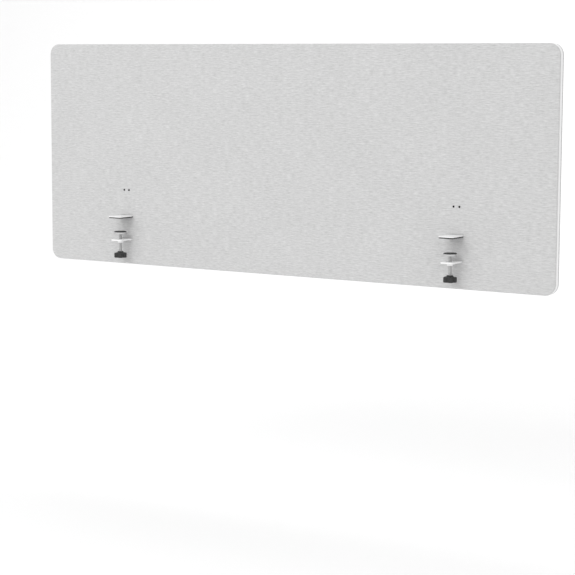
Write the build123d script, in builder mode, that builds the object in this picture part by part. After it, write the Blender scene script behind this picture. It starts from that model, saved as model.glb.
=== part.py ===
from build123d import *
import os

# A desk privacy panel: a fabric-faced board that stands behind the rear edge of a desk and
# hangs a little below it. Two screw clamps hold it. Each clamp has a plate on the desk top, whose
# arm passes through the panel to a bracket behind it, and a second arm under the desk that
# carries the clamp screw.
#
# Millimetres. X runs along the panel, +Y points away from the person at the desk, +Z is up.
# The origin is on the desk top, in the middle of the panel's front face.

os.makedirs("parts", exist_ok=True)

# Panel
panel_width = 1600.0
height_above_desk = 487.0
height_below_desk = 133.0
corner_radius = 30.0
core_thickness = 12.0
wadding_thickness = 5.0
fabric_thickness = 1.0
fabric_inset = 0.6          # the fabric's edge stands this far inside the trim
fabric_edge_radius = 2.2
wadding_gap = 0.2           # around the wadding, inside the fabric's turned edge

# Trim strip round the edge of the board, with a barb pressed into a groove
trim_thickness = 2.5
trim_gap = 1.0              # shadow gap between the trim and each fabric face
trim_edge_radius = 0.9
barb_thickness = 2.0
barb_depth = 6.0
groove_side_gap = 0.1
groove_end_gap = 0.5

# The desk that the clamps are set to, and the thinnest and thickest that they take
desk_thickness = 38.0
desk_min = 15.0
desk_max = 50.0

# Clamp plate on the desk and the bracket leg behind the panel
clamp_spacing = 1048.0
upper_width = 43.0
upper_steel = 3.0
upper_reach = 58.0          # how far the plate stands out in front of the panel
upper_corner_radius = 6.0
upper_leg_height = 95.0
jaw_pad_thickness = 3.0
jaw_pad_inset = 0.6
jaw_pad_panel_gap = 1.0
upper_bend_radius = 1.0
slot_gap = 0.3

# Bracket under the desk
lower_width = 36.0
lower_steel = 4.0
lower_reach = 52.0
lower_corner_radius = 6.0
lower_leg_height = 60.0
lower_bend_radius = 2.5

# Screws through the panel, two to a clamp, with nuts behind
panel_screw_diameter = 3.0
panel_screw_head_diameter = 5.6
panel_screw_head_height = 1.7
panel_screw_spacing = 16.5
panel_screw_height = 77.0
panel_screw_socket = 2.0
panel_screw_socket_depth = 1.0
panel_screw_hole_gap = 0.2
panel_nut_flats = 5.5
panel_nut_height = 2.4
thread_end = 0.8            # a screw's end stands this far out of its nut
thread_gap = 0.05

# Countersunk bolts that join the two brackets
bracket_bolt_diameter = 5.0
bracket_bolt_head_diameter = 9.2
bracket_bolt_low = 22.0
bracket_bolt_high = 48.0
bracket_bolt_hole_gap = 0.1
bracket_nut_flats = 8.0
bracket_nut_height = 4.7

# Clamp screw, its nut, pressure pad and knob
spindle_diameter = 8.0
spindle_reach = 30.0        # from the panel's front face to the spindle's axis
arm_hole_gap = 0.5
weld_nut_flats = 13.0
weld_nut_height = 6.5
pressure_pad_diameter = 36.0
pressure_pad_thickness = 5.0
pressure_pad_edge_radius = 1.0
pressure_rubber_thickness = 2.0
pressure_rubber_diameter = 34.0
rivet_neck_diameter = 6.0
rivet_head_diameter = 10.0
rivet_head_height = 1.4
rivet_recess_depth = 2.0
rivet_recess_gap = 0.5
swivel_gap = 0.05
pad_arm_gap = 3.0           # left between the pressure pad and the arm on the thickest desk
knob_nut_gap = 1.0          # left between the knob and the nut on the thinnest desk
knob_hub_diameter = 17.0
knob_hub_height = 4.0
knob_body_diameter = 27.0
knob_body_height = 14.0
knob_lobes = 5
knob_lobe_diameter = 13.0
knob_lobe_circle = 24.0
knob_edge_radius = 1.5
knob_floor = 4.0
knob_bore_gap = 0.02

# Depths through the panel, from the front face
face_thickness = fabric_thickness + wadding_thickness
core_front = face_thickness
core_rear = core_front + core_thickness
panel_rear = core_rear + face_thickness

# The board inside its trim
panel_height = height_above_desk + height_below_desk
panel_middle = (height_above_desk - height_below_desk) / 2
trim_width = core_thickness - 2 * trim_gap
groove_width = barb_thickness + 2 * groove_side_gap
groove_depth = barb_depth + groove_end_gap

# Heights of the clamp's parts
upper_bottom = jaw_pad_thickness
upper_top = upper_bottom + upper_steel
pad_top = -desk_thickness
pad_metal_top = pad_top - pressure_rubber_thickness
pad_bottom = pad_metal_top - pressure_pad_thickness
lower_top = -(desk_max + pressure_rubber_thickness + pressure_pad_thickness + pad_arm_gap)
lower_bottom = lower_top - lower_steel
weld_nut_bottom = lower_bottom - weld_nut_height
knob_top = weld_nut_bottom - (desk_thickness - desk_min) - knob_nut_gap
knob_bottom = knob_top - knob_hub_height - knob_body_height

# Depths behind the panel
upper_leg_rear = panel_rear + upper_steel
lower_leg_rear = upper_leg_rear + lower_steel

clamps = (("left", -clamp_spacing / 2), ("right", clamp_spacing / 2))


def upright(y):
    """The vertical plane at depth y: sketch x is X and sketch y is Z."""
    return Plane.XZ.offset(-y)


def outline(inset):
    """The panel's rounded outline, this far inside its outer edge."""
    with Locations((0, panel_middle)):
        RectangleRounded(panel_width - 2 * inset, panel_height - 2 * inset, corner_radius - inset)


def clamp_openings(bend_room):
    """The two arm slots and two screw holes that each clamp needs through one layer."""
    upper_slot = upper_steel + bend_room + 2 * slot_gap
    lower_slot = lower_steel + 2 * slot_gap
    for _, clamp_x in clamps:
        with Locations((clamp_x, upper_bottom - slot_gap + upper_slot / 2)):
            Rectangle(upper_width + 2 * slot_gap, upper_slot)
        with Locations((clamp_x, lower_bottom - slot_gap + lower_slot / 2)):
            Rectangle(lower_width + 2 * slot_gap, lower_slot)
        with Locations((clamp_x, panel_screw_height)):
            with GridLocations(panel_screw_spacing, 0, 2, 1):
                Circle(panel_screw_diameter / 2 + panel_screw_hole_gap)


def save(piece, name):
    piece.part.label = name
    export_step(piece.part, f"parts/{name}.step")


# Core board: a rigid board with a groove all round its edge for the trim's barb
with BuildPart() as core_board:
    with BuildSketch(upright(core_front)):
        outline(trim_thickness)
    extrude(amount=-core_thickness)
    with BuildSketch(upright(core_front + (core_thickness - groove_width) / 2)):
        outline(0)
        with Locations((0, panel_middle)):
            RectangleRounded(
                panel_width - 2 * (trim_thickness + groove_depth),
                panel_height - 2 * (trim_thickness + groove_depth),
                corner_radius - trim_thickness - groove_depth,
                mode=Mode.SUBTRACT,
            )
    extrude(amount=-groove_width, mode=Mode.SUBTRACT)
    with BuildSketch(upright(core_front)):
        clamp_openings(upper_bend_radius)
    extrude(amount=-core_thickness, mode=Mode.SUBTRACT)
save(core_board, "core_board")

# Trim strip: a T-section loop round the board's edge
with BuildPart() as edge_trim:
    with BuildSketch(upright(core_front + trim_gap)):
        outline(0)
    extrude(amount=-trim_width)
    fillet(edge_trim.faces().filter_by(Axis.Y).edges(), trim_edge_radius)
    with BuildSketch(upright(core_front)):
        outline(trim_thickness)
    extrude(amount=-core_thickness, mode=Mode.SUBTRACT)
    with BuildSketch(upright(core_front + (core_thickness - barb_thickness) / 2)):
        outline(trim_thickness)
        with Locations((0, panel_middle)):
            RectangleRounded(
                panel_width - 2 * (trim_thickness + barb_depth),
                panel_height - 2 * (trim_thickness + barb_depth),
                corner_radius - trim_thickness - barb_depth,
                mode=Mode.SUBTRACT,
            )
    extrude(amount=-barb_thickness)
save(edge_trim, "edge_trim")

# Fabric and wadding on each face of the board. The fabric turns over the wadding's edge and is
# glued to the board, so it is a shallow tray with the wadding inside.
for face, outer_y, inward, bend_room in (
    ("front", 0.0, -1, 0.0),
    ("rear", panel_rear, 1, upper_bend_radius),
):
    pocket_y = outer_y - inward * fabric_thickness
    with BuildPart() as fabric:
        with BuildSketch(upright(outer_y)):
            outline(fabric_inset)
        extrude(amount=inward * face_thickness)
        outer_face = fabric.faces().filter_by(Axis.Y).sort_by(Axis.Y)[0 if inward < 0 else -1]
        fillet(outer_face.edges(), fabric_edge_radius)
        with BuildSketch(upright(pocket_y)):
            outline(fabric_inset + fabric_thickness)
        extrude(amount=inward * wadding_thickness, mode=Mode.SUBTRACT)
        with BuildSketch(upright(outer_y)):
            clamp_openings(bend_room)
        extrude(amount=inward * face_thickness, mode=Mode.SUBTRACT)
    save(fabric, f"{face}_fabric")

    with BuildPart() as wadding:
        with BuildSketch(upright(pocket_y)):
            outline(fabric_inset + fabric_thickness + wadding_gap)
        extrude(amount=inward * wadding_thickness)
        with BuildSketch(upright(pocket_y)):
            clamp_openings(bend_room)
        extrude(amount=inward * wadding_thickness, mode=Mode.SUBTRACT)
    save(wadding, f"{face}_wadding")

for side, clamp_x in clamps:
    # Upper bracket: the plate on the desk, bent up behind the panel into a leg
    with BuildPart() as upper_bracket:
        with BuildSketch(Plane.YZ.offset(clamp_x)) as upper_profile:
            with Locations((-upper_reach, upper_bottom)):
                Rectangle(upper_reach + upper_leg_rear, upper_steel, align=(Align.MIN, Align.MIN))
            with Locations((panel_rear, upper_bottom)):
                Rectangle(upper_steel, upper_leg_height - upper_bottom, align=(Align.MIN, Align.MIN))
            inner_bend = upper_profile.vertices().sort_by_distance((panel_rear, upper_top))[0]
            outer_bend = upper_profile.vertices().sort_by_distance((upper_leg_rear, upper_bottom))[0]
            fillet(inner_bend, upper_bend_radius)
            fillet(outer_bend, upper_bend_radius + upper_steel)
        extrude(amount=upper_width / 2, both=True)
        fillet(upper_bracket.edges().filter_by(Axis.Z).group_by(Axis.Y)[0], upper_corner_radius)
        fillet(upper_bracket.edges().filter_by(Axis.Y).group_by(Axis.Z)[-1], upper_corner_radius)
        with BuildSketch(upright(panel_rear)):
            with Locations((clamp_x, panel_screw_height)):
                with GridLocations(panel_screw_spacing, 0, 2, 1):
                    Circle(panel_screw_diameter / 2 + panel_screw_hole_gap)
        extrude(amount=-upper_steel, mode=Mode.SUBTRACT)
        with Locations(upright(panel_rear)):
            with Locations((clamp_x, bracket_bolt_low), (clamp_x, bracket_bolt_high)):
                CounterSinkHole(
                    bracket_bolt_diameter / 2 + bracket_bolt_hole_gap,
                    bracket_bolt_head_diameter / 2 + bracket_bolt_hole_gap,
                    counter_sink_angle=90,
                )
    save(upper_bracket, f"upper_bracket_{side}")

    # Rubber sheet glued under the plate
    with BuildPart() as jaw_pad:
        with BuildSketch(Plane.XY):
            with Locations((clamp_x, -jaw_pad_panel_gap)):
                Rectangle(
                    upper_width - 2 * jaw_pad_inset,
                    upper_reach - jaw_pad_inset - jaw_pad_panel_gap,
                    align=(Align.CENTER, Align.MAX),
                )
        extrude(amount=jaw_pad_thickness)
        fillet(jaw_pad.edges().filter_by(Axis.Z).group_by(Axis.Y)[0], upper_corner_radius - jaw_pad_inset)
    save(jaw_pad, f"jaw_pad_{side}")

    # Lower bracket: an arm under the desk, bent up behind the upper bracket's leg
    with BuildPart() as lower_bracket:
        with BuildSketch(Plane.YZ.offset(clamp_x)) as lower_profile:
            with Locations((-lower_reach, lower_bottom)):
                Rectangle(lower_reach + lower_leg_rear, lower_steel, align=(Align.MIN, Align.MIN))
            with Locations((upper_leg_rear, lower_bottom)):
                Rectangle(lower_steel, lower_leg_height - lower_bottom, align=(Align.MIN, Align.MIN))
            inner_bend = lower_profile.vertices().sort_by_distance((upper_leg_rear, lower_top))[0]
            outer_bend = lower_profile.vertices().sort_by_distance((lower_leg_rear, lower_bottom))[0]
            fillet(inner_bend, lower_bend_radius)
            fillet(outer_bend, lower_bend_radius + lower_steel)
        extrude(amount=lower_width / 2, both=True)
        fillet(lower_bracket.edges().filter_by(Axis.Z).group_by(Axis.Y)[0], lower_corner_radius)
        fillet(lower_bracket.edges().filter_by(Axis.Y).group_by(Axis.Z)[-1], lower_corner_radius)
        with Locations(Plane.XY.offset(lower_top)):
            with Locations((clamp_x, -spindle_reach)):
                Hole(spindle_diameter / 2 + arm_hole_gap)
        with Locations(upright(lower_leg_rear)):
            with Locations((clamp_x, bracket_bolt_low), (clamp_x, bracket_bolt_high)):
                Hole(bracket_bolt_diameter / 2 + bracket_bolt_hole_gap, depth=lower_steel)
    save(lower_bracket, f"lower_bracket_{side}")

    # Countersunk bolts, heads against the panel, threaded ends to the rear
    bolt_end = lower_leg_rear + bracket_nut_height + thread_end
    head_depth = (bracket_bolt_head_diameter - bracket_bolt_diameter) / 2
    with BuildPart() as bracket_bolts:
        with Locations(
            Location((clamp_x, panel_rear, bracket_bolt_low), (-90, 0, 0)),
            Location((clamp_x, panel_rear, bracket_bolt_high), (-90, 0, 0)),
        ):
            Cylinder(
                bracket_bolt_diameter / 2,
                bolt_end - panel_rear,
                align=(Align.CENTER, Align.CENTER, Align.MIN),
            )
            Cone(
                bracket_bolt_head_diameter / 2,
                bracket_bolt_diameter / 2,
                head_depth,
                align=(Align.CENTER, Align.CENTER, Align.MIN),
            )
    save(bracket_bolts, f"bracket_bolts_{side}")

    # Hexagon nuts on those bolts
    with BuildPart() as bracket_nuts:
        with BuildSketch(upright(lower_leg_rear)):
            with Locations((clamp_x, bracket_bolt_low), (clamp_x, bracket_bolt_high)):
                RegularPolygon(bracket_nut_flats / 2, 6, major_radius=False)
                Circle(bracket_bolt_diameter / 2 + thread_gap, mode=Mode.SUBTRACT)
        extrude(amount=-bracket_nut_height)
    save(bracket_nuts, f"bracket_nuts_{side}")

    # Button-head screws through the whole panel, with a hexagon socket in each head
    screw_end = upper_leg_rear + panel_nut_height + thread_end
    with BuildPart() as panel_screws:
        with BuildSketch(upright(0)):
            with Locations((clamp_x, panel_screw_height)):
                with GridLocations(panel_screw_spacing, 0, 2, 1):
                    Circle(panel_screw_head_diameter / 2)
        extrude(amount=panel_screw_head_height)
        dome_edges = panel_screws.edges().filter_by(GeomType.CIRCLE).group_by(Axis.Y)[0]
        fillet(dome_edges, panel_screw_head_height / 2)
        with BuildSketch(upright(-panel_screw_head_height)):
            with Locations((clamp_x, panel_screw_height)):
                with GridLocations(panel_screw_spacing, 0, 2, 1):
                    RegularPolygon(panel_screw_socket / 2, 6, major_radius=False)
        extrude(amount=-panel_screw_socket_depth, mode=Mode.SUBTRACT)
        with BuildSketch(upright(0)):
            with Locations((clamp_x, panel_screw_height)):
                with GridLocations(panel_screw_spacing, 0, 2, 1):
                    Circle(panel_screw_diameter / 2)
        extrude(amount=-screw_end)
    save(panel_screws, f"panel_screws_{side}")

    # Nuts on the rear ends of those screws
    with BuildPart() as panel_nuts:
        with BuildSketch(upright(upper_leg_rear)):
            with Locations((clamp_x, panel_screw_height)):
                with GridLocations(panel_screw_spacing, 0, 2, 1):
                    RegularPolygon(panel_nut_flats / 2, 6, major_radius=False)
                    Circle(panel_screw_diameter / 2 + thread_gap, mode=Mode.SUBTRACT)
        extrude(amount=-panel_nut_height)
    save(panel_nuts, f"panel_nuts_{side}")

    # Nut welded under the lower arm, in which the clamp screw turns
    with BuildPart() as weld_nut:
        with BuildSketch(Plane.XY.offset(weld_nut_bottom)):
            with Locations((clamp_x, -spindle_reach)):
                RegularPolygon(weld_nut_flats / 2, 6, major_radius=False)
                Circle(spindle_diameter / 2 + thread_gap, mode=Mode.SUBTRACT)
        extrude(amount=weld_nut_height)
    save(weld_nut, f"weld_nut_{side}")

    # Clamp screw: a threaded rod whose riveted tip swivels in the pressure pad
    with BuildPart() as clamp_screw:
        with BuildSketch(Plane.XY.offset(knob_bottom + knob_floor)):
            with Locations((clamp_x, -spindle_reach)):
                Circle(spindle_diameter / 2)
        extrude(amount=pad_bottom - swivel_gap - knob_bottom - knob_floor)
        with BuildSketch(Plane.XY.offset(pad_bottom - swivel_gap)):
            with Locations((clamp_x, -spindle_reach)):
                Circle(rivet_neck_diameter / 2)
        extrude(amount=pressure_pad_thickness - rivet_recess_depth + 2 * swivel_gap)
        with BuildSketch(Plane.XY.offset(pad_metal_top - rivet_recess_depth + swivel_gap)):
            with Locations((clamp_x, -spindle_reach)):
                Circle(rivet_head_diameter / 2)
        extrude(amount=rivet_head_height)
    save(clamp_screw, f"clamp_screw_{side}")

    # Pressure pad: a steel disc with a recess for the screw's riveted tip
    with BuildPart() as pressure_pad:
        with BuildSketch(Plane.XY.offset(pad_bottom)):
            with Locations((clamp_x, -spindle_reach)):
                Circle(pressure_pad_diameter / 2)
        extrude(amount=pressure_pad_thickness)
        fillet(pressure_pad.edges().group_by(Axis.Z)[0], pressure_pad_edge_radius)
        with Locations(Plane.XY.offset(pad_metal_top)):
            with Locations((clamp_x, -spindle_reach)):
                CounterBoreHole(
                    rivet_neck_diameter / 2 + swivel_gap,
                    rivet_head_diameter / 2 + rivet_recess_gap,
                    rivet_recess_depth,
                )
    save(pressure_pad, f"pressure_pad_{side}")

    # Rubber disc glued on the pressure pad
    with BuildPart() as pressure_rubber:
        with BuildSketch(Plane.XY.offset(pad_metal_top)):
            with Locations((clamp_x, -spindle_reach)):
                Circle(pressure_rubber_diameter / 2)
        extrude(amount=pressure_rubber_thickness)
    save(pressure_rubber, f"pressure_rubber_{side}")

    # Knob: a lobed plastic grip moulded on the screw's lower end
    with BuildPart() as clamp_knob:
        with BuildSketch(Plane.XY.offset(knob_bottom)):
            with Locations((clamp_x, -spindle_reach)):
                Circle(knob_body_diameter / 2)
                with PolarLocations(knob_lobe_circle / 2, knob_lobes, start_angle=90):
                    Circle(knob_lobe_diameter / 2)
        extrude(amount=knob_body_height)
        fillet(clamp_knob.faces().filter_by(Axis.Z).edges(), knob_edge_radius)
        with BuildSketch(Plane.XY.offset(knob_top - knob_hub_height)):
            with Locations((clamp_x, -spindle_reach)):
                Circle(knob_hub_diameter / 2)
        extrude(amount=knob_hub_height)
        with BuildSketch(Plane.XY.offset(knob_bottom + knob_floor)):
            with Locations((clamp_x, -spindle_reach)):
                Circle(spindle_diameter / 2 + knob_bore_gap)
        extrude(amount=knob_top - knob_bottom - knob_floor, mode=Mode.SUBTRACT)
    save(clamp_knob, f"clamp_knob_{side}")
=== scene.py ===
import math

import bmesh
import bpy
import numpy as np
from mathutils import Matrix, Vector
from mathutils.geometry import delaunay_2d_cdt


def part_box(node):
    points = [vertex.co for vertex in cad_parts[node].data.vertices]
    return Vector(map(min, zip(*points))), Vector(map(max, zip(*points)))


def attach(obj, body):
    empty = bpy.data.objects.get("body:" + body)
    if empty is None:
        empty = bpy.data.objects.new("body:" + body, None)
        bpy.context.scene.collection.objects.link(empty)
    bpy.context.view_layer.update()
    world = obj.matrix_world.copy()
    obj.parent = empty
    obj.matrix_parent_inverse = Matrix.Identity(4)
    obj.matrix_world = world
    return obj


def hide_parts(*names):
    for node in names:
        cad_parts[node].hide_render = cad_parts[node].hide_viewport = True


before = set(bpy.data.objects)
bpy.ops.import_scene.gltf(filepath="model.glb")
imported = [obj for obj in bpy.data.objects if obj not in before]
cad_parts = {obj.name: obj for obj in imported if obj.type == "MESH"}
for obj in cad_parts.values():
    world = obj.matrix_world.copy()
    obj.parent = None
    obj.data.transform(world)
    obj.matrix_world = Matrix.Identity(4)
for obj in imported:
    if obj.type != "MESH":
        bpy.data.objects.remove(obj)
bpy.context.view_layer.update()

# Studio. A pale seamless floor that curves up into a wall, at the height of the floor under
# the desk that the panel is clamped to. The light is white and soft: an even sky, a broad
# light from the front left, one on the wall behind and a faint one on the panel's right end.
desk_height = 0.737
floor_reach = 14.0
wall_distance = 7.0
wall_height = 9.0
sweep_radius = 2.5
sweep_steps = 16
sky_strength = 0.98


def simple_object(name, points, faces, smooth=True):
    """A mesh object at the origin."""
    mesh = bpy.data.meshes.new(name)
    mesh.from_pydata([tuple(p) for p in points], [], [tuple(f) for f in faces])
    mesh.validate()
    for polygon in mesh.polygons:
        polygon.use_smooth = smooth
    made = bpy.data.objects.new(name, mesh)
    bpy.context.scene.collection.objects.link(made)
    return made


class Wire:
    """A socket of a node tree. Arithmetic on wires adds Math nodes to the tree."""

    def __init__(self, tree, socket):
        self.tree = tree
        self.socket = socket

    def node(self, kind, settings=None, sockets=None, output=0):
        """Adds a node: its settings are set first, then its sockets get values or wires."""
        made = self.tree.nodes.new(kind)
        for name, value in (settings or {}).items():
            if name == "stops":
                while len(made.color_ramp.elements) < len(value):
                    made.color_ramp.elements.new(1.0)
                for element, (position, tone) in zip(made.color_ramp.elements, value):
                    element.position = position
                    element.color = (tone, tone, tone, 1.0)
            else:
                setattr(made, name, value)
        for name, value in (sockets or {}).items():
            if isinstance(value, Wire):
                self.tree.links.new(value.socket, made.inputs[name])
            elif value is not None:
                made.inputs[name].default_value = value
        return Wire(self.tree, made.outputs[output])

    def math(self, operation, *values):
        """A Math node of the kind that this tree takes."""
        return self.node("ShaderNodeMath", {"operation": operation}, dict(enumerate(values)))

    def stretched(self, x, y, z=1.0):
        """This vector with its axes multiplied."""
        return self.node("ShaderNodeVectorMath", {"operation": "MULTIPLY"}, {0: self, 1: (x, y, z)})

    def noise(self, scale=1.0, detail=2.0, roughness=0.5):
        """Noise from 0 to 1 on this vector."""
        sockets = {"Vector": self, "Scale": scale, "Detail": detail, "Roughness": roughness}
        return self.node("ShaderNodeTexNoise", None, sockets)

    def __add__(self, other):
        return self.math("ADD", self, other)

    __radd__ = __add__

    def __mul__(self, other):
        return self.math("MULTIPLY", self, other)

    __rmul__ = __mul__

    def __sub__(self, other):
        return self.math("SUBTRACT", self, other)

    def __rsub__(self, other):
        return self.math("SUBTRACT", other, self)


def new_finish(name, constants, coordinates="Object"):
    """A material with these constants on its shader, and the wire of the coordinates it reads."""
    material = bpy.data.materials.new(name)
    material.use_nodes = True
    tree = material.node_tree
    shader = tree.nodes["Principled BSDF"]
    for socket, value in constants.items():
        shader.inputs[socket].default_value = value
    if coordinates == "Object":
        source = tree.nodes.new("ShaderNodeTexCoord").outputs["Object"]
    else:
        reader = tree.nodes.new("ShaderNodeUVMap")
        reader.uv_map = coordinates
        source = reader.outputs["UV"]
    return material, shader, Wire(tree, source)


def feed(shader, socket, wire):
    """Links a wire into one of the shader's sockets."""
    wire.tree.links.new(wire.socket, shader.inputs[socket])


def grey(wire, dark, light):
    """A grey that goes from dark to light as the wire goes from 0 to 1."""
    return wire.node("ShaderNodeValToRGB", {"stops": [(0.0, dark), (1.0, light)]}, {"Fac": wire})


def relief(height, depth, strength=1.0):
    """A bumped normal from a height of 0 to 1 that stands for this depth in metres."""
    settings = {"Height": height, "Distance": depth, "Strength": strength}
    return height.node("ShaderNodeBump", None, settings)


backdrop_finish, backdrop_shader, backdrop_place = new_finish(
    "pale_backdrop", {"Roughness": 0.9, "Specular IOR Level": 0.1}
)
feed(backdrop_shader, "Base Color", grey(backdrop_place.noise(0.7), 0.890, 0.910))

sweep_angles = np.linspace(0, math.pi / 2, sweep_steps + 1)
backdrop_profile = [(-floor_reach, 0.0)]
backdrop_profile += [
    (wall_distance + sweep_radius * (math.sin(a) - 1), sweep_radius * (1 - math.cos(a)))
    for a in sweep_angles
]
backdrop_profile += [(wall_distance, wall_height)]
backdrop_points = [
    (x, y, z - desk_height) for x in (-floor_reach, floor_reach) for y, z in backdrop_profile
]
backdrop_rows = len(backdrop_profile)
backdrop = simple_object(
    "backdrop",
    backdrop_points,
    [(i, i + backdrop_rows, i + backdrop_rows + 1, i + 1) for i in range(backdrop_rows - 1)],
)
backdrop.data.materials.append(backdrop_finish)

sky = bpy.data.worlds.new("soft_sky")
sky.use_nodes = True
sky.node_tree.nodes["Background"].inputs["Color"].default_value = (1.0, 1.0, 1.0, 1.0)
sky.node_tree.nodes["Background"].inputs["Strength"].default_value = sky_strength
bpy.context.scene.world = sky
bpy.context.scene.view_settings.view_transform = "Standard"


def soft_light(name, place, target, size, watts):
    """A square area light that faces a point."""
    data = bpy.data.lights.new(name, "AREA")
    data.shape = "SQUARE"
    data.size = size
    data.energy = watts
    lamp = bpy.data.objects.new(name, data)
    bpy.context.scene.collection.objects.link(lamp)
    lamp.location = place
    lamp.rotation_euler = (Vector(target) - Vector(place)).to_track_quat("-Z", "Y").to_euler()


soft_light("broad_front_light", (-0.6, -4.8, 3.0), (0.0, 0.0, 0.2), 3.5, 71.0)
soft_light("right_end_light", (5.0, 0.6, 1.8), (0.8, 0.0, 0.2), 2.5, 3.0)
soft_light("wall_light", (-2.0, 3.0, 5.5), (-2.5, 7.0, 0.8), 4.0, 90.0)

# Camera: to the right of the panel's middle and a little above the desk, looking slightly down.
camera_turn = math.radians(32.678)
camera_pitch = math.radians(6.908)
camera_roll = math.radians(0.270)
camera_place = (2.6593, -4.1171, 0.4291)
lens_data = bpy.data.cameras.new("camera")
lens_data.sensor_width = 36.0
lens_data.lens = 114.756
lens_data.clip_end = 100.0
camera = bpy.data.objects.new("camera", lens_data)
bpy.context.scene.collection.objects.link(camera)
camera.matrix_world = (
    Matrix.Translation(camera_place)
    @ Matrix.Rotation(camera_turn, 4, "Z")
    @ Matrix.Rotation(math.pi / 2 - camera_pitch, 4, "X")
    @ Matrix.Rotation(camera_roll, 4, "Z")
)
bpy.context.scene.camera = camera

# Core board: the stiff fibreboard inside the panel. It shows only as a dark line in the gaps
# beside the trim and inside the clamp slots, so its CAD solid is kept and given a raw sawn face.
board_finish, board_shader, board_place = new_finish(
    "raw_fibreboard", {"Roughness": 0.9, "Specular IOR Level": 0.1}
)
fibres = board_place.stretched(260, 260, 1400).noise(1.0, 4.0, 0.6)
board_tone = fibres.node(
    "ShaderNodeMix",
    {"data_type": "RGBA"},
    {"Factor": fibres, "A": (0.10, 0.075, 0.05, 1.0), "B": (0.20, 0.155, 0.11, 1.0)},
    output="Result",
)
feed(board_shader, "Base Color", board_tone)
feed(board_shader, "Normal", relief(fibres, 0.0003))


def finish_cad(node, material):
    """Gives a CAD node its material."""
    node_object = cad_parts[node]
    node_object.data.materials.clear()
    node_object.data.materials.append(material)


finish_cad("core_board", board_finish)

# Wadding: needled polyester between the board and each fabric. It is sealed in.
wadding_finish, wadding_shader, wadding_place = new_finish(
    "needled_wadding", {"Roughness": 1.0, "Sheen Weight": 0.4}
)
tufts = wadding_place.noise(420.0, 4.0, 0.7)
feed(wadding_shader, "Base Color", grey(tufts, 0.72, 0.88))
feed(wadding_shader, "Normal", relief(tufts, 0.0006))
for face in ("front", "rear"):
    finish_cad(f"{face}_wadding", wadding_finish)

# Trim: one pale plastic T-strip, pushed into a groove round the board's edge by its barb. Its
# face is slightly domed, with round edges that leave a dark crease beside each fabric.
trim_low, trim_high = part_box("edge_trim")
panel_middle = (trim_low + trim_high) / 2
panel_size = trim_high - trim_low
corner_radius = 0.030
strip_thickness = 0.0025
dome_height = 0.0007
strip_edge_radius = 0.0016
barb_half = 0.001           # at its root
barb_taper = 0.6            # its thickness at the tip, as a share of that at the root
barb_depth = 0.006
corner_pieces = 14

trim_finish, trim_shader, trim_place = new_finish(
    "pale_plastic_trim",
    {"Specular IOR Level": 0.45, "Coat Roughness": 0.3},
)
trim_grain = trim_place.noise(2600.0, 3.0, 0.6)
trim_cloud = trim_place.noise(14.0, 3.0, 0.5)
feed(trim_shader, "Base Color", grey(trim_cloud * 0.6 + trim_grain * 0.4, 0.83, 0.89))
feed(trim_shader, "Roughness", trim_cloud * 0.12 + 0.36)
feed(trim_shader, "Normal", relief(trim_grain, 0.00005))

GEOMETRY = "NodeSocketGeometry"


def new_tree(name, inputs):
    """A Geometry Nodes tree with named inputs: returns the tree and a wire for each input."""
    tree = bpy.data.node_groups.new(name, "GeometryNodeTree")
    tree.interface.new_socket("Geometry", in_out="INPUT", socket_type=GEOMETRY)
    for label, socket_type in inputs.items():
        tree.interface.new_socket(label, in_out="INPUT", socket_type=socket_type)
    tree.interface.new_socket("Geometry", in_out="OUTPUT", socket_type=GEOMETRY)
    entry = tree.nodes.new("NodeGroupInput")
    return tree, {socket.name: Wire(tree, socket) for socket in entry.outputs if socket.name}


def end_tree(wire, material):
    """Realizes the instances, sets the material and ends the tree."""
    real = wire.node("GeometryNodeRealizeInstances", None, {"Geometry": wire})
    done = real.node("GeometryNodeSetMaterial", None, {"Geometry": real, "Material": material})
    leave = wire.tree.nodes.new("NodeGroupOutput")
    wire.tree.links.new(done.socket, leave.inputs["Geometry"])


def grown(piece, tree, values):
    """Runs the tree on a piece with these inputs and keeps the result as its plain mesh."""
    modifier = piece.modifiers.new("shape", "NODES")
    modifier.node_group = tree
    identifiers = {s.name: s.identifier for s in tree.interface.items_tree if s.in_out == "INPUT"}
    for label, value in values.items():
        modifier[identifiers[label]] = value
    evaluated = piece.evaluated_get(bpy.context.evaluated_depsgraph_get())
    mesh = bpy.data.meshes.new_from_object(evaluated)
    piece.modifiers.remove(modifier)
    piece.data = mesh
    mesh.name = piece.name
    return piece


def trim_section():
    """The strip's section as (outward, across) points, anticlockwise, with a domed face."""
    half = panel_size[1] / 2
    points = []
    for side in (-1, 1):
        bend = [math.radians(a) for a in range(0, 91, 15)]
        if side > 0:
            bend.reverse()
        for a in bend:
            across = half - strip_edge_radius * (1 - math.sin(a))
            outward = -dome_height - strip_edge_radius * (1 - math.cos(a))
            points.append((outward, side * across) if side < 0 else (outward, across))
        if side < 0:
            points.reverse()
            flat = half - strip_edge_radius
            steps = [flat * t for t in (-0.75, -0.5, -0.25, 0.0, 0.25, 0.5, 0.75)]
            points += [(-dome_height * (s / flat) ** 2, s) for s in steps]
    points += [
        (-strip_thickness, half),
        (-strip_thickness, barb_half),
        (-strip_thickness - barb_depth, barb_half * barb_taper),
        (-strip_thickness - barb_depth, -barb_half * barb_taper),
        (-strip_thickness, -barb_half),
        (-strip_thickness, -half),
    ]
    return points


section_curve = bpy.data.curves.new("trim_section", "CURVE")
section_curve.dimensions = "3D"
section_points = trim_section()
section_line = section_curve.splines.new("POLY")
section_line.points.add(len(section_points) - 1)
for point, (outward, across) in zip(section_line.points, section_points):
    point.co = (outward, across, 0.0, 1.0)
section_line.use_cyclic_u = True
section = bpy.data.objects.new("trim_section", section_curve)
bpy.context.scene.collection.objects.link(section)

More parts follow.
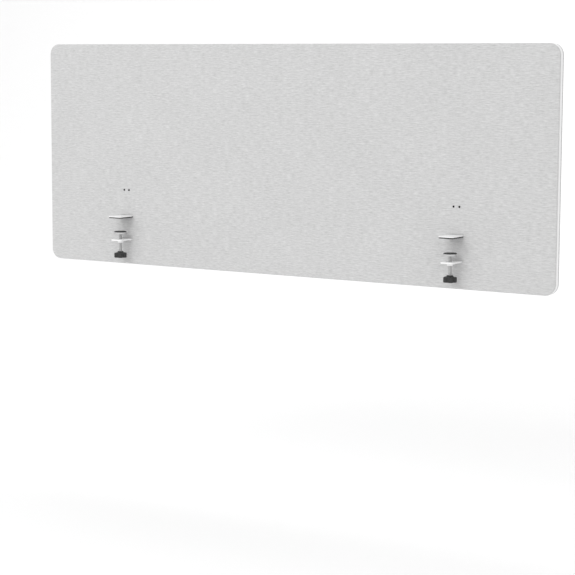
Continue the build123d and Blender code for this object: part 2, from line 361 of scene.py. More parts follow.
trim_tree, trim_in = new_tree(
    "strip_round_outline",
    {
        "Section": "NodeSocketObject",
        "Width": "NodeSocketFloat",
        "Height": "NodeSocketFloat",
        "Corner Radius": "NodeSocketFloat",
        "Middle": "NodeSocketVector",
    },
)
wide = trim_in["Width"]
loop = wide.node(
    "GeometryNodeCurvePrimitiveQuadrilateral",
    {"mode": "RECTANGLE"},
    {"Width": trim_in["Width"], "Height": trim_in["Height"]},
)
loop = loop.node(
    "GeometryNodeFilletCurve",
    {"mode": "POLY"},
    {
        "Curve": loop,
        "Radius": trim_in["Corner Radius"],
        "Count": corner_pieces,
        "Limit Radius": True,
    },
)
drawn = wide.node("GeometryNodeObjectInfo", None, {"Object": trim_in["Section"]}, "Geometry")
strip = loop.node(
    "GeometryNodeCurveToMesh", None, {"Curve": loop, "Profile Curve": drawn, "Fill Caps": False}
)
strip = strip.node(
    "GeometryNodeTransform",
    None,
    {
        "Geometry": strip,
        "Rotation": (math.pi / 2, 0.0, 0.0),
        "Translation": trim_in["Middle"],
    },
)
end_tree(strip, trim_finish)
trim = grown(
    simple_object("edge_strip", [], []),
    trim_tree,
    {
        "Section": section,
        "Width": float(panel_size[0]),
        "Height": float(panel_size[2]),
        "Corner Radius": corner_radius,
        "Middle": [float(c) for c in panel_middle],
    },
)
bpy.data.objects.remove(section)
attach(trim, "panel")
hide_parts("edge_trim")

# Fabric: a light grey heathered cloth on each face, stretched over the wadding, turned over its
# edge and glued to the board. Slits with turned lips let the two clamp arms through. Flat, each
# piece is the size of the face with the turned edge added on every side.
rim_radius = 0.0030
roll_end = math.radians(125)    # how far round the rim's roll the cloth goes before it runs down
roll_steps = 8
rim_crown = 0.00035             # the face falls back this far towards its rim
crown_reach = 0.004
crown_insets = (0.0035, 0.0055, 0.0085, 0.013)
tucked_insets = (0.0030, 0.0016)    # the glued edge, and the foot of the rim's side
cloth_thickness = 0.0009
face_depth = 0.006              # from the face to the board
slit_gap = 0.0003
slit_corner = 0.0006
upper_steel = 0.003
lower_steel = 0.004
bend_room = 0.001               # the upper slit behind is this much taller, for the plate's bend
mesh_pitch = 0.010
slit_pitch = 0.003
slit_margin = 0.003             # the face's own grid keeps this far from a slit

cloth_finish, cloth_shader, cloth_place = new_finish(
    "heathered_cloth",
    {"Roughness": 0.95, "Specular IOR Level": 0.12, "Sheen Weight": 0.25, "Sheen Roughness": 0.6},
    coordinates="cloth",
)
warp_pitch = 0.00085
weft_pitch = 0.00100
cloth_axes = "ShaderNodeSeparateXYZ"
across = cloth_place.node(cloth_axes, None, {"Vector": cloth_place}, "X")
upward = cloth_place.node(cloth_axes, None, {"Vector": cloth_place}, "Y")
wobble = cloth_place.stretched(90, 140).noise(1.0, 2.0) - 0.5
warp_count = across * (1 / warp_pitch) + wobble * 0.5
weft_count = upward * (1 / weft_pitch) + wobble * 0.6


def yarn_round(count):
    """The height of the round yarns across their width, 0 to 1."""
    half_turn = count.math("FRACT", count) * math.pi
    return half_turn.math("SINE", half_turn)


warp_round = yarn_round(warp_count)
weft_round = yarn_round(weft_count)
cell = warp_count.math("FLOOR", warp_count) + weft_count.math("FLOOR", weft_count)
weft_on_top = cell.math("FRACT", cell * 0.5) * 2
weave_height = weft_on_top * weft_round * (warp_round * 0.5 + 0.5)
weave_height = weave_height + (1 - weft_on_top) * warp_round * (weft_round * 0.5 + 0.5)
weft_row = weft_count.math("FLOOR", weft_count)
warp_row = warp_count.math("FLOOR", warp_count)


def yarn_tone(along, row, length, seed):
    """The tone of a melange yarn, 0 to 1: each row differs, and changes slowly along itself."""
    place = along.node(
        "ShaderNodeCombineXYZ", None, {"X": along * (1 / length), "Y": row * 7.31, "Z": seed}
    )
    return place.noise(1.0, 3.0, 0.65)


weft_tone = yarn_tone(across, weft_row, 0.010, 1.7)
warp_tone = yarn_tone(upward, warp_row, 0.012, 8.2)
yarn = weft_tone * (weft_on_top * 0.5 + 0.35) + warp_tone * (0.65 - weft_on_top * 0.5)
slub = cloth_place.stretched(75, 470).noise(1.0, 3.0, 0.6)
streak = cloth_place.stretched(30, 330).noise(1.0, 3.0, 0.55)
cloud = cloth_place.stretched(5, 7).noise(1.0, 2.0, 0.5)
fuzz = cloth_place.noise(5200.0, 2.0, 0.7)
heather = (yarn - 0.5) * 0.34 + (slub - 0.5) * 0.60 + (streak - 0.5) * 0.34 + (cloud - 0.5) * 0.06
heather = heather + (fuzz - 0.5) * 0.08 + 0.5
# The cloth's colour is the heathered yarn tone plus painted shade in the weave: the raised yarns
# are painted lighter and the hollows between them darker.
heather_and_painted_weave_shade = weave_height * 0.07 + heather - 0.035
feed(cloth_shader, "Base Color", grey(heather_and_painted_weave_shade, 0.255, 0.885))
feed(cloth_shader, "Normal", relief(weave_height * 0.8 + fuzz * 0.2, 0.00022, 0.8))


def outline_loop(low, high, radius, inset, pitch, corner_steps=12):
    """Points (x, z) round a rounded rectangle. Loops of different insets match point by point."""
    reach_x = (high[0] - low[0]) / 2 - radius
    reach_z = (high[1] - low[1]) / 2 - radius
    middle = ((low[0] + high[0]) / 2, (low[1] + high[1]) / 2)
    r = radius - inset
    points = []
    for quarter, (sx, sz) in enumerate(((1, 1), (-1, 1), (-1, -1), (1, -1))):
        centre = (middle[0] + sx * reach_x, middle[1] + sz * reach_z)
        for step in range(corner_steps + 1):
            a = math.pi / 2 * (quarter + step / corner_steps)
            points.append((centre[0] + r * math.cos(a), centre[1] + r * math.sin(a)))
        side = 2 * (reach_x if quarter % 2 == 0 else reach_z)
        count = max(1, round(side / pitch))
        heading = math.pi / 2 * (quarter + 2)
        start = points[-1]
        for step in range(1, count):
            d = side * step / count
            points.append((start[0] + d * math.cos(heading), start[1] + d * math.sin(heading)))
    return points


def inside(points, loop):
    """Which points lie inside a loop, as a numpy mask."""
    crossings = np.zeros(len(points), bool)
    for (ax, az), (bx, bz) in zip(loop, loop[1:] + loop[:1]):
        spans = (az > points[:, 1]) != (bz > points[:, 1])
        if az != bz:
            crossings ^= spans & (points[:, 0] < (bx - ax) * (points[:, 1] - az) / (bz - az) + ax)
    return crossings


def clamp_slits(bend_gap):
    """(low, high) corners of the slits that the four clamp arms pass through."""
    slits = []
    for side in ("left", "right"):
        low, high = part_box(f"upper_bracket_{side}")
        top = low[2] + upper_steel + bend_gap
        slits.append(((low[0] - slit_gap, low[2] - slit_gap), (high[0] + slit_gap, top + slit_gap)))
        low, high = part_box(f"lower_bracket_{side}")
        top = low[2] + lower_steel
        slits.append(((low[0] - slit_gap, low[2] - slit_gap), (high[0] + slit_gap, top + slit_gap)))
    return slits


def stretched_cloth(name, node, outer_y, inward, bend_gap):
    """One face's cloth: rim, face and slit lips as one sheet, with its flat shape as its UV map."""
    low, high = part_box(node)
    corners = (low[0], low[2]), (high[0], high[2])
    radius = corner_radius - (low[0] - float(trim_low[0]))
    mesh = bmesh.new()
    flat = mesh.loops.layers.uv.new("cloth")
    flat_place = {}

    def ring(points, depth, flat_points):
        made = []
        for (x, z), f in zip(points, flat_points):
            vertex = mesh.verts.new((x, outer_y + inward * depth, z))
            flat_place[vertex] = f
            made.append(vertex)
        return made

    def join(first, second):
        for i in range(len(first)):
            j = (i + 1) % len(first)
            mesh.faces.new((first[i], first[j], second[j], second[i]))

    # Rim: from the glued edge up its side, round the roll and onto the face
    steps = [(tucked_insets[0], face_depth), (tucked_insets[1], face_depth - 0.00003)]
    for t in range(roll_steps + 1):
        a = roll_end * (1 - t / roll_steps)
        fall = rim_crown * max(0.0, math.cos(a))
        steps.append((rim_radius * (1 - math.sin(a)), fall + rim_radius * (1 - math.cos(a))))
    for inset in crown_insets:
        steps.append((inset, rim_crown * math.exp(-(inset - rim_radius) / crown_reach)))
    lengths = [0.0]
    for (i0, d0), (i1, d1) in zip(steps, steps[1:]):
        lengths.append(lengths[-1] + math.hypot(i1 - i0, d1 - d0))
    inner_inset, total = steps[-1][0], lengths[-1]
    rings = []
    for (inset, depth), length in zip(steps, lengths):
        loop_points = outline_loop(*corners, radius, inset, mesh_pitch)
        flat_points = outline_loop(*corners, radius, inner_inset - (total - length), mesh_pitch)
        rings.append(ring(loop_points, depth, flat_points))
    for first, second in zip(rings, rings[1:]):
        join(first, second)

    # Slit lips: from the face into each slit
    lip = [(0.0012, 0.0), (0.0006, 0.00012), (0.0002, 0.00045), (0.0, 0.0011), (0.0, 0.0026)]
    holes = []
    for slit in clamp_slits(bend_gap):
        lip_rings, travelled = [], 0.0
        for i, (grow, depth) in enumerate(lip):
            if i:
                travelled += math.hypot(lip[i - 1][0] - grow, lip[i - 1][1] - depth)
            loop_points = outline_loop(*slit, slit_corner, -grow, slit_pitch, 3)
            flat_inset = -(lip[0][0] - travelled)
            flat_points = outline_loop(*slit, slit_corner, flat_inset, slit_pitch, 3)
            lip_rings.append(ring(loop_points, depth, flat_points))
        for first, second in zip(lip_rings, lip_rings[1:]):
            join(first, second)
        holes.append(lip_rings[0])

    # Face: a grid joined to the last rim ring and to the slits
    def plan(vertices):
        return [(v.co.x, v.co.z) for v in vertices]

    border = plan(rings[-1])
    grid_x = np.arange(low[0] + 0.02, high[0] - 0.012, mesh_pitch)
    grid_z = np.arange(low[2] + 0.02, high[2] - 0.012, mesh_pitch)
    grid = np.array([(x, z) for x in grid_x for z in grid_z])
    keep = inside(grid, outline_loop(*corners, radius, inner_inset + 0.004, mesh_pitch))
    for hole in holes:
        xs, zs = zip(*plan(hole))
        keep &= ~(
            (grid[:, 0] > min(xs) - slit_margin)
            & (grid[:, 0] < max(xs) + slit_margin)
            & (grid[:, 1] > min(zs) - slit_margin)
            & (grid[:, 1] < max(zs) + slit_margin)
        )
    grid = grid[keep]
    points = border + [p for hole in holes for p in plan(hole)] + [tuple(p) for p in grid]
    fixed = list(rings[-1]) + [v for hole in holes for v in hole]
    edges, start = [], 0
    for count in [len(border)] + [len(hole) for hole in holes]:
        edges += [(start + i, start + (i + 1) % count) for i in range(count)]
        start += count
    flat_grid = [(float(x), float(z)) for x, z in grid]
    vertices = fixed + ring(flat_grid, 0.0, flat_grid)
    placed, _, triangles, origins, _, _ = delaunay_2d_cdt(
        [Vector(p) for p in points], edges, [], 0, 1e-7
    )
    middles = np.array([np.mean([placed[i] for i in t], axis=0) for t in triangles])
    wanted = inside(middles, border)
    for hole in holes:
        wanted &= ~inside(middles, plan(hole))
    for triangle, good in zip(triangles, wanted):
        if good:
            mesh.faces.new([vertices[origins[i][0]] for i in triangle])
    bmesh.ops.recalc_face_normals(mesh, faces=mesh.faces)
    facing = sum(f.normal.y * f.calc_area() for f in mesh.faces)
    if facing * inward > 0:
        bmesh.ops.reverse_faces(mesh, faces=mesh.faces)
    for f in mesh.faces:
        f.smooth = True
        for corner in f.loops:
            corner[flat].uv = flat_place[corner.vert]
    made = simple_object(name, [], [])
    mesh.to_mesh(made.data)
    mesh.free()
    made.data.materials.append(cloth_finish)
    thickness = made.modifiers.new("thickness", "SOLIDIFY")
    thickness.thickness = cloth_thickness
    thickness.offset = -1.0
    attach(made, "panel")
    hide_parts(node)
    return made


panel_rear = float(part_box("rear_fabric")[1][1])
stretched_cloth("front_cloth", "front_fabric", 0.0, 1, 0.0)
stretched_cloth("rear_cloth", "rear_fabric", panel_rear, -1, bend_room)

# Brackets: laser-cut steel, bent and powder-coated in white. The upper one lies on the desk,
# the lower one reaches under it, and they are bolted together behind the panel. The coat
# softens their edges.
plate_softening = 0.0004
coat_finish, coat_shader, coat_place = new_finish(
    "white_powder_coat",
    {"Specular IOR Level": 0.5, "Coat Weight": 0.15, "Coat Roughness": 0.25},
)
peel = coat_place.noise(900.0, 2.0, 0.5)
coat_cloud = coat_place.noise(30.0, 3.0, 0.5)
feed(coat_shader, "Base Color", grey(coat_cloud * 0.7 + peel * 0.3, 0.83, 0.88))
feed(coat_shader, "Roughness", coat_cloud * 0.12 + 0.28)
feed(coat_shader, "Normal", relief(peel, 0.00004))


def softened_copy(node, name, bevel, material, body):
    """A merged copy of a CAD node with bevelled edges, which stands for it."""
    mesh = bmesh.new()
    mesh.from_mesh(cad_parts[node].data)
    for layer in list(mesh.loops.layers.uv):
        mesh.loops.layers.uv.remove(layer)
    bmesh.ops.remove_doubles(mesh, verts=mesh.verts, dist=2e-6)
    bmesh.ops.dissolve_limit(
        mesh, angle_limit=math.radians(0.5), verts=mesh.verts, edges=mesh.edges
    )
    piece = simple_object(name, [], [])
    mesh.to_mesh(piece.data)
    mesh.free()
    piece.data.materials.clear()
    piece.data.materials.append(material)
    edge = piece.modifiers.new("edge", "BEVEL")
    edge.width = bevel
    edge.segments = 3
    edge.limit_method = "ANGLE"
    edge.angle_limit = math.radians(35)
    edge.harden_normals = False
    triangles = piece.modifiers.new("triangles", "TRIANGULATE")
    triangles.quad_method = "BEAUTY"
    evaluated = piece.evaluated_get(bpy.context.evaluated_depsgraph_get())
    finished = bpy.data.meshes.new_from_object(evaluated)
    piece.modifiers.clear()
    piece.data = finished
    for polygon in finished.polygons:
        polygon.use_smooth = True
    finished.set_sharp_from_angle(angle=math.radians(40))
    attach(piece, body)
    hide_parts(node)
    return piece


for side in ("left", "right"):
    for part in ("upper", "lower"):
        softened_copy(
            f"{part}_bracket_{side}",
            f"{part}_plate_{side}",
            plate_softening,
            coat_finish,
            "panel",
        )

# Jaw pads: dark rubber sheet glued under each plate so that it grips and doesn't mark the desk.
rubber_softening = 0.00025
rubber_finish, rubber_shader, rubber_place = new_finish(
    "dark_rubber", {"Specular IOR Level": 0.35}
)
rubber_grain = rubber_place.noise(1500.0, 4.0, 0.65)
rubber_cloud = rubber_place.noise(60.0, 2.0, 0.5)
feed(rubber_shader, "Base Color", grey(rubber_cloud * 0.6 + rubber_grain * 0.4, 0.025, 0.06))
feed(rubber_shader, "Roughness", rubber_grain * 0.2 + 0.62)
feed(rubber_shader, "Normal", relief(rubber_grain, 0.00008))
for side in ("left", "right"):
    softened_copy(
        f"jaw_pad_{side}",
        f"jaw_rubber_{side}",
        rubber_softening,
        rubber_finish,
        "panel",
    )

# Screws, bolts and nuts: zinc-plated or black steel, driven by hand. Each shape is made once and
# set in its places by one tree, with a little random turn about its own axis.
place_seed = 7
nut_bevel = 0.0003
thread_gap = 0.00005
zinc_finish, zinc_shader, zinc_place = new_finish(
    "zinc_plated_steel", {"Metallic": 1.0, "Specular IOR Level": 0.5}
)
zinc_scratch = zinc_place.stretched(500, 500, 2600).noise(1.0, 4.0, 0.6)
zinc_cloud = zinc_place.noise(220.0, 3.0, 0.55)
feed(zinc_shader, "Base Color", grey(zinc_cloud * 0.6 + zinc_scratch * 0.4, 0.48, 0.68))
feed(zinc_shader, "Roughness", zinc_scratch * 0.22 + 0.26)
feed(zinc_shader, "Normal", relief(zinc_scratch, 0.00002))

black_finish, black_shader, black_place = new_finish(
    "black_oxide_steel", {"Specular IOR Level": 0.25}
)
black_grain = black_place.noise(3000.0, 3.0, 0.6)
feed(black_shader, "Base Color", grey(black_grain, 0.005, 0.014))
feed(black_shader, "Roughness", black_grain * 0.2 + 0.42)
feed(black_shader, "Normal", relief(black_grain, 0.00002))

place_tree, place_in = new_tree(
    "set_in_places",
    {
        "Shape": "NodeSocketObject",
        "Aim": "NodeSocketVector",
        "Random Turn": "NodeSocketFloat",
        "Seed": "NodeSocketInt",
        "Finish": "NodeSocketMaterial",
    },
)
shape = place_in["Shape"].node(
    "GeometryNodeObjectInfo", None, {"Object": place_in["Shape"]}, "Geometry"
)
aimed = shape.node("FunctionNodeEulerToRotation", None, {"Euler": place_in["Aim"]})
turn = shape.node(
    "FunctionNodeRandomValue",
    {"data_type": "FLOAT"},
    {2: -1.0 * place_in["Random Turn"], 3: place_in["Random Turn"], "Seed": place_in["Seed"]},
    1,
)
own_turn = shape.node(
    "FunctionNodeAxisAngleToRotation", None, {"Axis": (0.0, 0.0, 1.0), "Angle": turn}
)
aimed = shape.node(
    "FunctionNodeRotateRotation", {"rotation_space": "LOCAL"}, {0: aimed, 1: own_turn}
)
placed = shape.node(
    "GeometryNodeInstanceOnPoints",
    None,
    {"Points": place_in["Geometry"], "Instance": shape, "Rotation": aimed},
)
end_tree(placed, place_in["Finish"])


def turned_shape(name, rings, segments=48, hollow=False):
    """A shape about +Z from rings of (radius or radius of angle, height), closed at both ends,
    or back onto itself when it is hollow."""
    points = []
    for radius, height in rings:
        for i in range(segments):
            a = 2 * math.pi * i / segments
            r = radius(a) if callable(radius) else radius
            points.append((r * math.cos(a), r * math.sin(a), height))
    faces = []
    pairs = list(zip(range(len(rings)), range(1, len(rings))))
    if hollow:
        pairs.append((len(rings) - 1, 0))
    for low, high in pairs:
        for i in range(segments):
            j = (i + 1) % segments
            a, b = low * segments, high * segments
            faces.append((a + i, a + j, b + j, b + i))
    if not hollow:
        faces.append(tuple(reversed(range(segments))))
        last = (len(rings) - 1) * segments
        faces.append(tuple(range(last, last + segments)))
    made = simple_object(name, points, faces)
    mesh = bmesh.new()
    mesh.from_mesh(made.data)
    bmesh.ops.recalc_face_normals(mesh, faces=mesh.faces)
    mesh.to_mesh(made.data)
    mesh.free()
    made.data.set_sharp_from_angle(angle=math.radians(32))
    return made


def hexagon(flats):
    """The radius of a hexagon this far across its flats, as a function of angle."""

    def radius(angle):
        off_flat = (angle + math.pi / 6) % (math.pi / 3) - math.pi / 6
        return flats / 2 / math.cos(off_flat)

    return radius


def hexagon_nut(name, flats, height, bore):
    """A chamfered hexagon nut with a countersunk bore, standing on z = 0."""
    outer = hexagon(flats)
    cone = math.tan(math.radians(30))
    round_face = flats / 2 * 0.96

    def corner_cut(radius):
        return (radius - round_face) * cone

    corner = outer(math.pi / 6)
    rings = [
        (bore + nut_bevel, 0.0),
        (round_face, 0.0),
        (outer, corner_cut(corner)),
        (outer, height - corner_cut(corner)),
        (round_face, height),
        (bore + nut_bevel, height),
        (bore, height - nut_bevel),
        (bore, nut_bevel),
    ]
    made = turned_shape(name, rings, hollow=True)
    # On the flats the chamfer is shallower than at the corners
    for vertex in made.data.vertices:
        r = math.hypot(vertex.co.x, vertex.co.y)
        if r > round_face + 1e-6:
            cut = corner_cut(r)
            vertex.co.z = cut if vertex.co.z < height / 2 else height - cut
    return made


def set_in_places(name, shape_object, places, aim, body, nodes, finish, random_turn=0.0):
    """One piece made of this shape at each place, which stands for the CAD nodes."""
    piece = simple_object(name, places, [])
    grown(
        piece,
        place_tree,
        {
            "Shape": shape_object,
            "Aim": list(aim),
            "Random Turn": random_turn,
            "Seed": place_seed,
            "Finish": finish,
        },
    )
    bpy.data.objects.remove(shape_object)
    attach(piece, body)
    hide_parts(*nodes)
    return piece


def both(name):
    """This clamp piece's CAD nodes, left and right."""
    return [f"{name}_left", f"{name}_right"]


facing_rear = (-math.pi / 2, 0.0, 0.0)


def pair_places(name, axis, half_size, y_side):
    """Centres of the two solids in each clamp's node, spaced along an axis, on one y side."""
    places = []
    for node in both(name):
        low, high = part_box(node)
        middle = (low + high) / 2
        middle[1] = (low, high)[y_side][1]
        for end, sign in ((low, 1), (high, -1)):
            place = middle.copy()
            place[axis] = end[axis] + sign * half_size
            places.append(tuple(place))
    return places


# Bolts that join the brackets, with locking nuts behind
bolt_nut_flats = 0.008
bolt_nut_low, bolt_nut_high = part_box("bracket_nuts_left")
bolt_nut_height = float(bolt_nut_high[1] - bolt_nut_low[1])
bolt_radius = 0.0025
bolt_socket_flats = 0.003
bolt_socket_depth = 0.0015
end_bevel = 0.0005
set_in_places(
    "bracket_nut_set",
    hexagon_nut("nut", bolt_nut_flats, bolt_nut_height, bolt_radius + thread_gap),
    pair_places("bracket_nuts", 2, bolt_nut_flats / 2, 0),
    facing_rear,
    "panel",
    both("bracket_nuts"),
    zinc_finish,
    0.4,
)
bolt_low, bolt_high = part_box("bracket_bolts_left")
bolt_length = float(bolt_high[1] - bolt_low[1])
bolt_head_radius = float(bolt_high[0] - bolt_low[0]) / 2
bolt = turned_shape(
    "bolt",
    [
        (hexagon(bolt_socket_flats), bolt_socket_depth),
        (hexagon(bolt_socket_flats), 0.0),
        (bolt_head_radius, 0.0),
        (bolt_radius, bolt_head_radius - bolt_radius),
        (bolt_radius, bolt_length - end_bevel),
        (bolt_radius - end_bevel, bolt_length),
    ],
)
set_in_places(
    "bracket_bolt_set",
    bolt,
    pair_places("bracket_bolts", 2, bolt_head_radius, 0),
    facing_rear,
    "panel",
    both("bracket_bolts"),
    zinc_finish,
    0.5,
)

# Black button-head screws through the panel, two above each plate, with nuts behind
screw_low, screw_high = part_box("panel_screws_left")
head_radius = float(screw_high[2] - screw_low[2]) / 2
screw_length = float(screw_high[1] - screw_low[1])
head_height = -float(screw_low[1])
head_skirt = 0.0003         # the straight part of the head, next to the cloth
head_flat = 0.42            # the flat on top of the head, as a share of its radius
shank_radius = 0.0015
shank_bevel = 0.0003
socket_flats = 0.002
socket_depth = 0.001
dome_rise = head_height - head_skirt
dome = [
    (head_radius * math.cos(a), dome_rise - dome_rise * math.sin(a))
    for a in (math.radians(d) for d in (0, 12, 24, 36, 48, 60))
]
dome.reverse()
screw = turned_shape(
    "screw",
    [
        (hexagon(socket_flats), socket_depth),
        (hexagon(socket_flats), 0.0),
        (head_radius * head_flat, 0.0),
    ]
    + dome
    + [
        (head_radius, head_height),
        (shank_radius, head_height),
        (shank_radius, screw_length - shank_bevel),
        (shank_radius - shank_bevel, screw_length),
    ],
)
set_in_places(
    "panel_screw_set",
    screw,
    pair_places("panel_screws", 0, head_radius, 0),
    facing_rear,
    "panel",
    both("panel_screws"),
    black_finish,
    0.5,
)
screw_nut_low, screw_nut_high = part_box("panel_nuts_left")
screw_nut_flats = float(screw_nut_high[2] - screw_nut_low[2])
screw_nut_height = float(screw_nut_high[1] - screw_nut_low[1])
screw_nut_corner = screw_nut_flats / 2 / math.cos(math.pi / 6)
set_in_places(
    "panel_nut_set",
    hexagon_nut("small_nut", screw_nut_flats, screw_nut_height, shank_radius + thread_gap),
    pair_places("panel_nuts", 0, screw_nut_corner, 0),
    (-math.pi / 2, math.pi / 6, 0.0),
    "panel",
    both("panel_nuts"),
    zinc_finish,
)

# Weld nuts under the lower arms, coated with the bracket
weld_low, weld_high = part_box("weld_nut_left")
weld_flats = 0.013
weld_height = float(weld_high[2] - weld_low[2])
clamp_screw_radius = 0.004


def middle_of(node):
    """The x and y of a CAD node's middle."""
    low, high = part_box(node)
    middle = (low + high) / 2
    return float(middle[0]), float(middle[1])


set_in_places(
    "weld_nut_set",
    hexagon_nut("weld_nut", weld_flats, weld_height, clamp_screw_radius + thread_gap),
    [(*middle_of(node), float(weld_low[2])) for node in both("weld_nut")],
    (0.0, 0.0, 0.0),
    "panel",
    both("weld_nut"),
    coat_finish,
)

# Clamp screws: zinc-plated threaded rods. The tip is a smooth neck with a riveted head that
# swivels inside the pressure pad. The lower end is moulded into the knob.
thread_pitch = 0.00125
thread_depth = 0.00068
neck_radius = 0.003
rivet_radius = 0.005
rivet_height = 0.0014
rivet_bevel = 0.0002
rod_sides = 36
rows_per_turn = 10

thread_tree, thread_in = new_tree(
    "threaded_rod",
    {
        "Radius": "NodeSocketFloat",
        "Length": "NodeSocketFloat",
        "Pitch": "NodeSocketFloat",
        "Depth": "NodeSocketFloat",
        "Start": "NodeSocketVector",
    },
)
rod_radius = thread_in["Radius"]
rod_length = thread_in["Length"]
turns = rod_length.math("DIVIDE", rod_length, thread_in["Pitch"])
side_rows = turns.math("ROUND", turns * rows_per_turn)
rod = rod_radius.node(
    "GeometryNodeMeshCylinder",
    {"fill_type": "NGON"},
    {
        "Vertices": rod_sides,
        "Side Segments": side_rows,
        "Radius": rod_radius,
        "Depth": rod_length,
    },
    "Mesh",
)
position = rod.node("GeometryNodeInputPosition")
rod_axes = "ShaderNodeSeparateXYZ"
rod_x = position.node(rod_axes, None, {"Vector": position}, "X")
rod_y = position.node(rod_axes, None, {"Vector": position}, "Y")
rod_z = position.node(rod_axes, None, {"Vector": position}, "Z")
angle = rod_x.math("ARCTAN2", rod_y, rod_x)
phase = rod_z.math("DIVIDE", rod_z, thread_in["Pitch"]) - angle * (1 / (2 * math.pi))
ridge = phase.math("PINGPONG", phase, 0.5) * 2
ridge = ridge.math("SMOOTH_MIN", ridge * 1.35, 1.0, 0.2)
from_end = rod_length * 0.5 - rod_z.math("ABSOLUTE", rod_z)
end_taper = from_end.math("MINIMUM", from_end.math("DIVIDE", from_end, thread_in["Pitch"]), 1.0)
groove = (1 - ridge) * thread_in["Depth"] + (1 - end_taper) * thread_in["Depth"] * ridge
shrink = groove.math("DIVIDE", groove, rod_radius)
inward_step = rod.node(
    "ShaderNodeCombineXYZ", None, {"X": rod_x * shrink * -1.0, "Y": rod_y * shrink * -1.0}
)
rod = rod.node("GeometryNodeSetPosition", None, {"Geometry": rod, "Offset": inward_step})
half_up = rod_length.node("ShaderNodeCombineXYZ", None, {"Z": rod_length * 0.5})
rod_place = rod.node(
    "ShaderNodeVectorMath", {"operation": "ADD"}, {0: thread_in["Start"], 1: half_up}
)
rod = rod.node("GeometryNodeTransform", None, {"Geometry": rod, "Translation": rod_place})
end_tree(rod, zinc_finish)

for side in ("left", "right"):
    low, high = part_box(f"clamp_screw_{side}")
    rod_bottom, tip_top = float(low[2]), float(high[2])
    screw_middle = middle_of(f"clamp_screw_{side}")
    rod_top = float(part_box(f"pressure_pad_{side}")[0][2]) - thread_gap
    rod_piece = grown(
        simple_object(f"threaded_rod_{side}", [], []),
        thread_tree,
        {
            "Radius": clamp_screw_radius,
            "Length": rod_top - rod_bottom,
            "Pitch": thread_pitch,
            "Depth": thread_depth,
            "Start": [*screw_middle, rod_bottom],
        },
    )
    for polygon in rod_piece.data.polygons:
        polygon.use_smooth = True
    rod_piece.data.set_sharp_from_angle(angle=math.radians(50))
    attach(rod_piece, f"{side}_clamp_screw")
    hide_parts(f"clamp_screw_{side}")
    tip = turned_shape(
        "tip",
        [
            (neck_radius, rod_top - 0.0002),
            (neck_radius, tip_top - rivet_height),
            (rivet_radius - rivet_bevel, tip_top - rivet_height),
            (rivet_radius, tip_top - rivet_height + rivet_bevel),
            (rivet_radius * 0.97, tip_top - 0.0005),
            (rivet_radius * 0.8, tip_top),
        ],
    )
    set_in_places(
        f"riveted_tip_{side}",
        tip,
        [(*screw_middle, 0.0)],
        (0.0, 0.0, 0.0),
        f"{side}_clamp_screw",
        [f"clamp_screw_{side}"],
        zinc_finish,
    )

# Knobs: black glass-filled nylon, five soft lobes and a raised hub, with a fine moulded grain.
knob_finish, knob_shader, knob_place = new_finish(
    "black_moulded_nylon", {"Specular IOR Level": 0.4}
)
knob_grain = knob_place.noise(2200.0, 3.0, 0.6)
knob_cloud = knob_place.noise(80.0, 2.0, 0.5)
feed(knob_shader, "Base Color", grey(knob_cloud * 0.5 + knob_grain * 0.5, 0.018, 0.035))
feed(knob_shader, "Roughness", knob_grain * 0.16 + 0.44)
feed(knob_shader, "Normal", relief(knob_grain, 0.00006))

lobe_count = 5
lobe_radius = 0.0065
lobe_circle = 0.012
body_radius = 0.0135
body_height = 0.014
hub_radius = 0.0085
hub_bore = 0.00402
lobe_sharpness = 26         # how sharply a lobe meets the body
grip_rounding = 0.0022


def lobed(inset):
    """The knob's plan radius as a function of angle, this far inside its edge."""

    def radius(angle):
        off_lobe = (angle - math.pi / 2 + math.pi / lobe_count) % (2 * math.pi / lobe_count)
        off_lobe -= math.pi / lobe_count
        side = lobe_circle * math.sin(off_lobe)
        lobe = body_radius
        if abs(side) < lobe_radius:
            lobe = lobe_circle * math.cos(off_lobe) + math.sqrt(lobe_radius**2 - side**2)
        powers = (lobe**lobe_sharpness + body_radius**lobe_sharpness) / 2
        return min(powers ** (1 / lobe_sharpness), max(lobe, body_radius)) - inset

    return radius


for side in ("left", "right"):
    low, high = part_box(f"clamp_knob_{side}")
    bottom, top = float(low[2]), float(high[2])
    grip_top = bottom + body_height
    rings = [(lobed(0.006), bottom + 0.0004), (lobed(0.004), bottom + 0.0001)]
    bend = [math.radians(d) for d in (0, 18, 36, 54, 72, 90)]
    near = [grip_rounding * (1 - math.sin(a)) for a in bend]
    far = [grip_rounding * (1 - math.cos(a)) for a in bend]
    rings += [(lobed(inset), bottom + rise) for inset, rise in zip(near, far)]
    rings += [(lobed(inset), grip_top - drop) for inset, drop in zip(far, near)]
    rings += [
        (hub_radius + 0.0012, grip_top),
        (hub_radius + 0.0003, grip_top + 0.0004),
        (hub_radius, grip_top + 0.0012),
        (hub_radius, top - 0.0008),
        (hub_radius - 0.0002, top - 0.0003),
        (hub_radius - 0.0008, top),
        (0.0044, top),
        (hub_bore, top - 0.0004),
        (hub_bore, top - 0.004),
    ]
    set_in_places(
        f"star_knob_{side}",
        turned_shape("knob", rings, segments=120),
        [(*middle_of(f"clamp_screw_{side}"), 0.0)],
        (0.0, 0.0, 0.0),
        f"{side}_clamp_screw",
        [f"clamp_knob_{side}"],
        knob_finish,
    )

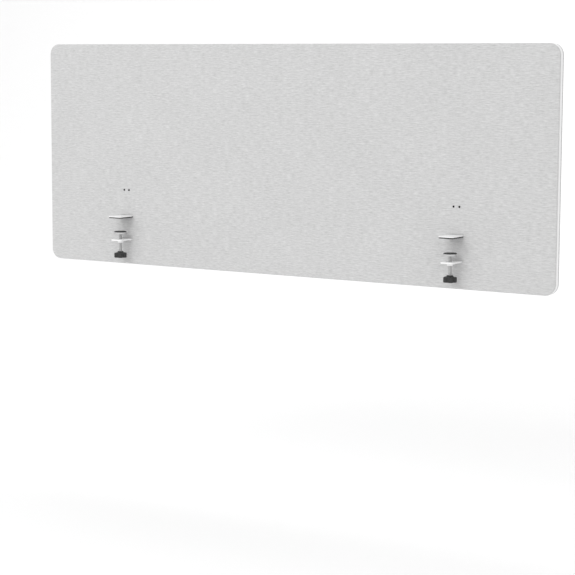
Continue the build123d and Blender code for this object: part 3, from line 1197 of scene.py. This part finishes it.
# Pressure pads: turned steel discs that swivel on the screws' riveted tips. Each has a dark
# rubber disc with ring grooves glued on top.
rivet_room_radius = 0.0055
pad_wall = 0.002
groove_radii = (0.013, 0.0085, 0.004)
groove_depth = 0.0004
for side in ("left", "right"):
    low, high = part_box(f"pressure_pad_{side}")
    pad_middle = middle_of(f"pressure_pad_{side}")
    disc_radius = float(high[0] - low[0]) / 2
    bottom, top = float(low[2]), float(high[2])
    pad = turned_shape(
        "pad",
        [
            (neck_radius + thread_gap, bottom + 0.0001),
            (neck_radius + 0.0004, bottom),
            (0.0075, bottom),
            (0.0080, bottom + 0.0003),
            (0.0085, bottom + 0.0003),
            (0.0090, bottom),
            (disc_radius - 0.0010, bottom),
            (disc_radius - 0.0003, bottom + 0.0003),
            (disc_radius, bottom + 0.0010),
            (disc_radius, top - 0.0003),
            (disc_radius - 0.0003, top),
            (rivet_room_radius, top),
            (rivet_room_radius, top - pad_wall),
            (neck_radius + thread_gap, top - pad_wall),
        ],
        segments=96,
        hollow=True,
    )
    set_in_places(
        f"steel_pad_{side}",
        pad,
        [(*pad_middle, 0.0)],
        (0.0, 0.0, 0.0),
        f"{side}_pressure_foot",
        [f"pressure_pad_{side}"],
        zinc_finish,
    )
    low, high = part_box(f"pressure_rubber_{side}")
    rubber_radius = float(high[0] - low[0]) / 2
    bottom, top = float(low[2]), float(high[2])
    grooves = []
    for groove_radius in groove_radii:
        grooves += [
            (groove_radius + 0.0006, top),
            (groove_radius + 0.0003, top - groove_depth),
            (groove_radius - 0.0003, top - groove_depth),
            (groove_radius - 0.0006, top),
        ]
    disc = turned_shape(
        "disc",
        [
            (0.001, bottom),
            (rubber_radius - 0.0002, bottom),
            (rubber_radius, bottom + 0.0002),
            (rubber_radius, top - 0.0004),
            (rubber_radius - 0.0004, top),
        ]
        + grooves
        + [(0.001, top)],
        segments=96,
    )
    set_in_places(
        f"rubber_disc_{side}",
        disc,
        [(*pad_middle, 0.0)],
        (0.0, 0.0, 0.0),
        f"{side}_pressure_foot",
        [f"pressure_rubber_{side}"],
        rubber_finish,
    )
